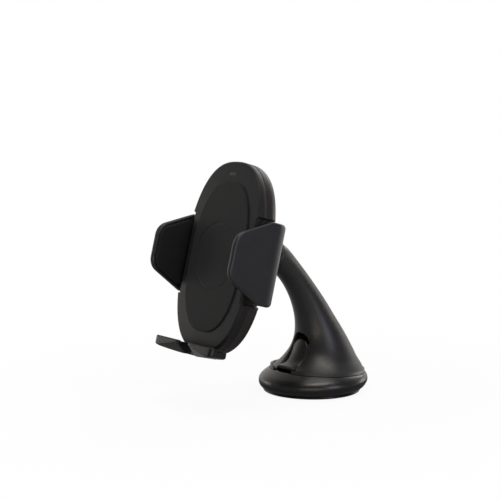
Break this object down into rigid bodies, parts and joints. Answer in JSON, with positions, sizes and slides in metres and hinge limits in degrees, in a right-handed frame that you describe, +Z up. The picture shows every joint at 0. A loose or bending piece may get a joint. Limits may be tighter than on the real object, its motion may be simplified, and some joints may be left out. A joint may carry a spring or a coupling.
{
  "type": "suction mounted charging slab holder",
  "caption": "Suction-mounted charging holder: bell base with lever, curved neck, ball joint, oval charging head, two sliding side jaws and a clawed foot.",
  "frame": {"origin": "centre of the suction cup's face, on the surface it holds", "axes": "+Z up from the surface, -Y towards the side the holder faces, +X to the right of the symmetry plane"},
  "size_m": [0.08, 0.1324, 0.1413],
  "materials": {
    "gel": "soft satin",
    "gloss": "satin gloss",
    "shell": "satin",
    "matte": "fine matte grain",
    "jaw": "fine matte grain",
    "foot": "gloss",
    "inner": "matte",
    "silicone": "matte",
    "steel": "bright",
    "zinc": "satin",
    "pom": "natural white",
    "copper": "enamelled copper",
    "ferrite": "sintered, matte",
    "board": "solder mask",
    "lens": "clear"
  },
  "bodies": {
    "base": {"suction_cup": "gel", "base_ring": "gloss", "guide_plate": "inner", "cam_washer": "steel", "base_screws": "steel", "arm": "gloss", "ball_stud": "zinc", "stud_pin": "steel", "plunger_spring": "steel"},
    "plunger": {"core_plate": "inner", "plunger_post": "zinc", "lever_pin": "steel"},
    "lever": {"suction_lever": "gloss"},
    "ball_cup": {"seat_cup": "pom"},
    "ball_ring": {"seat_ring": "pom"},
    "collar": {"collar_nut": "matte"},
    "head": {"ball_socket": "inner", "rack_cover": "matte", "cover_screws": "steel", "back_shell": "shell", "front_cover": "matte", "housing_screws": "steel", "front_pad": "silicone", "charging_coil": "copper", "ferrite_plate": "ferrite", "coil_carrier": "pom", "circuit_board": "board", "usb_socket": "zinc", "status_led": "lens", "light_pipe": "lens", "pinion_axle": "steel", "button_spring": "steel"},
    "left_grip": {"left_jaw": "jaw", "left_jaw_pad": "silicone"},
    "right_grip": {"right_jaw": "jaw", "right_jaw_pad": "silicone"},
    "pinion": {"jaw_pinion": "pom", "jaw_spring": "steel"},
    "button": {"release_button": "matte", "ratchet_pawl": "zinc"},
    "foot": {"foot": "foot", "foot_pads": "silicone"}
  },
  "joints": [
    {"name": "plunger_slide", "type": "slide", "parent": "base", "child": "plunger", "axis": [0, 0, 1], "range_m": [-0.00155, 0], "deforming": ["plunger_spring", "suction_cup"]},
    {"name": "lever_turn", "type": "hinge", "parent": "plunger", "child": "lever", "pos_m": [0, 0, 0.027], "axis": [-1, 0, 0], "range_deg": [0, 31]},
    {"name": "ball_pan", "type": "hinge", "parent": "base", "child": "ball_cup", "pos_m": [0, -0.0394, 0.0911], "axis": [0, 0, 1], "range_deg": [-18, 18]},
    {"name": "ball_tilt", "type": "hinge", "parent": "ball_cup", "child": "ball_ring", "pos_m": [0, -0.0394, 0.0911], "axis": [1, 0, 0], "range_deg": [-38, 7]},
    {"name": "ball_roll", "type": "hinge", "parent": "ball_ring", "child": "head", "pos_m": [0, -0.0394, 0.0911], "axis": [0, 0.9699, -0.2436], "continuous": true},
    {"name": "collar_turn", "type": "hinge", "parent": "head", "child": "collar", "pos_m": [0, -0.0394, 0.0911], "axis": [0, 0.9699, -0.2436], "range_deg": [0, 90]},
    {"name": "left_jaw_slide", "type": "slide", "parent": "head", "child": "left_grip", "axis": [-1, 0, 0], "range_m": [-0.005, 0.0065]},
    {"name": "right_jaw_slide", "type": "slide", "parent": "head", "child": "right_grip", "axis": [1, 0, 0], "range_m": [-0.005, 0.0065]},
    {"name": "pinion_turn", "type": "hinge", "parent": "head", "child": "pinion", "pos_m": [0, -0.07458, 0.08035], "axis": [0, 0.9699, -0.2436], "range_deg": [-83, 64]},
    {"name": "button_press", "type": "slide", "parent": "head", "child": "button", "axis": [0, -0.9699, 0.2436], "range_m": [0, 0.0012], "stiffness_N_per_m": 500, "springref_m": -0.001, "deforming": ["button_spring"]},
    {"name": "foot_slide", "type": "slide", "parent": "head", "child": "foot", "axis": [0, -0.2436, -0.9699], "range_m": [0, 0.016]}
  ],
  "couplings": [
    {"joint": "lever_turn", "follows": "plunger_slide", "rad_per_m": -344.12},
    {"joint": "right_jaw_slide", "follows": "left_jaw_slide", "ratio": 1},
    {"joint": "pinion_turn", "follows": "left_jaw_slide", "rad_per_m": -222.22}
  ]
}
